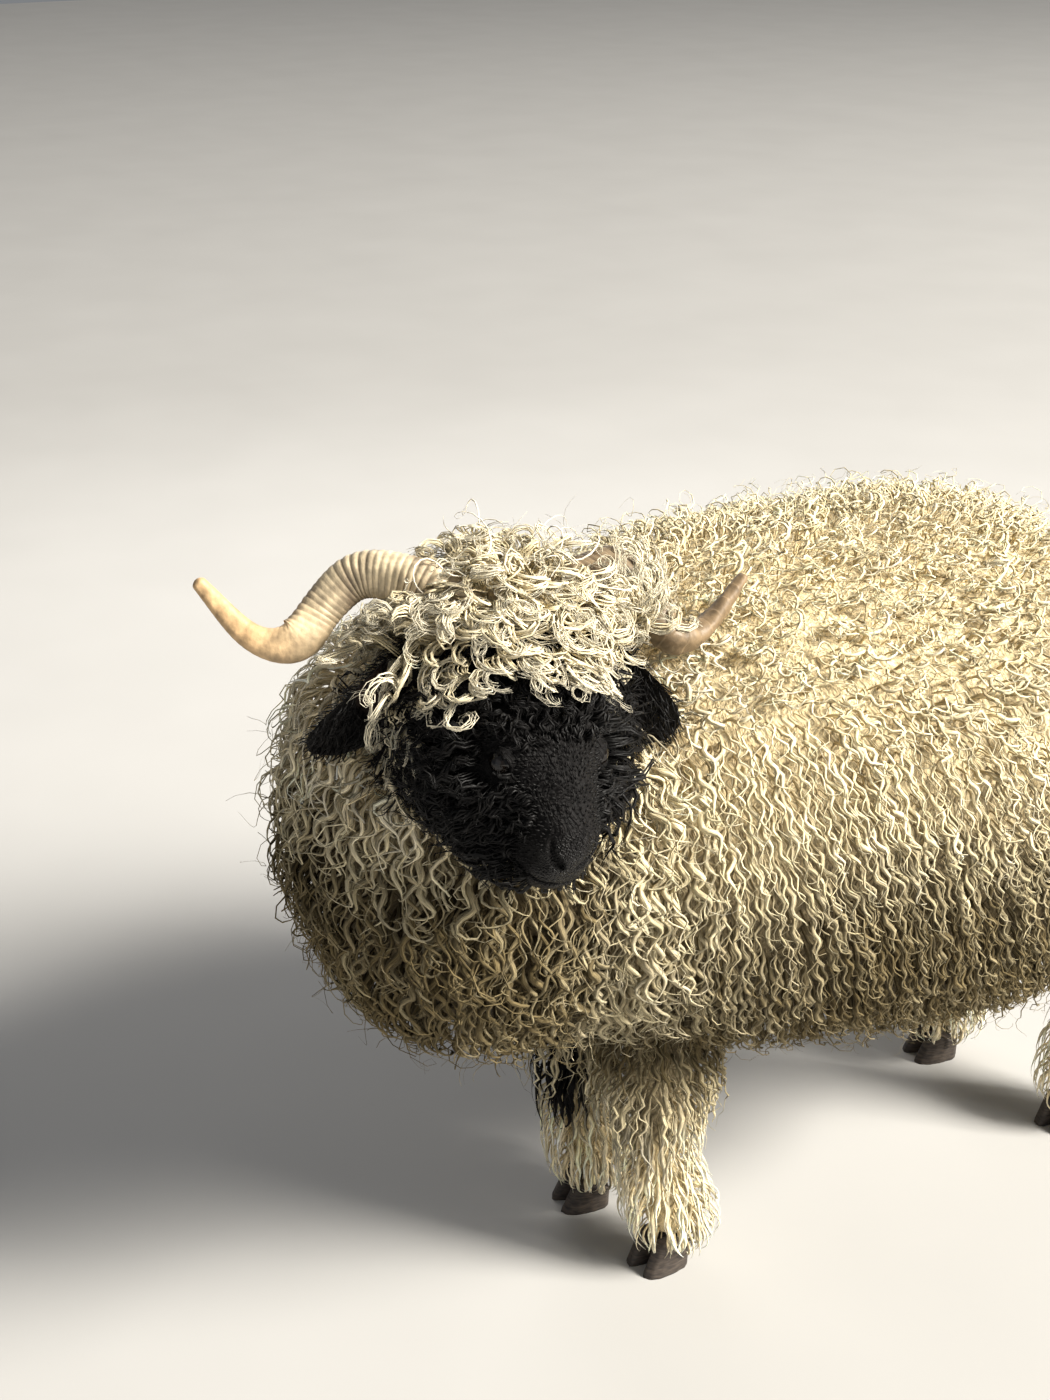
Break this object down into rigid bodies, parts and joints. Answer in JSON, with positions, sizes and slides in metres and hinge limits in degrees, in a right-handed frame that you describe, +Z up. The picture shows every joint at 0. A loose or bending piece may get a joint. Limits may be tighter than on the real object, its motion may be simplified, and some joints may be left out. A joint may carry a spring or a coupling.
{
  "type": "valais blacknose sheep",
  "caption": "Standing horned sheep in full curly fleece, head turned to its left, as a still life-size display model with cream wool and black face, knees and feet.",
  "frame": {"origin": "on the floor, under the middle of the bounding box", "axes": "+Z up, the sheep faces -Y, its left side is +X"},
  "size_m": [0.6174, 1.2228, 0.9181],
  "materials": {
    "fleece": "matte curly wool",
    "leg_wool": "matte wool with black knees and feet",
    "black_wool": "short black wool",
    "horn": "ringed dry horn",
    "hoof": "dull dark horn",
    "eye": "wet dark brown"
  },
  "bodies": {
    "root": {"trunk": "fleece", "neck": "fleece", "tail": "fleece", "head": "black_wool", "lower_jaw": "black_wool", "ear_left": "black_wool", "ear_right": "black_wool", "eye_left": "eye", "eye_right": "eye", "horn_left": "horn", "horn_right": "horn", "leg_front_left": "leg_wool", "claw_front_left_inner": "hoof", "claw_front_left_outer": "hoof", "leg_front_right": "leg_wool", "claw_front_right_inner": "hoof", "claw_front_right_outer": "hoof", "leg_hind_left": "leg_wool", "claw_hind_left_inner": "hoof", "claw_hind_left_outer": "hoof", "leg_hind_right": "leg_wool", "claw_hind_right_inner": "hoof", "claw_hind_right_outer": "hoof"}
  },
  "joints": []
}
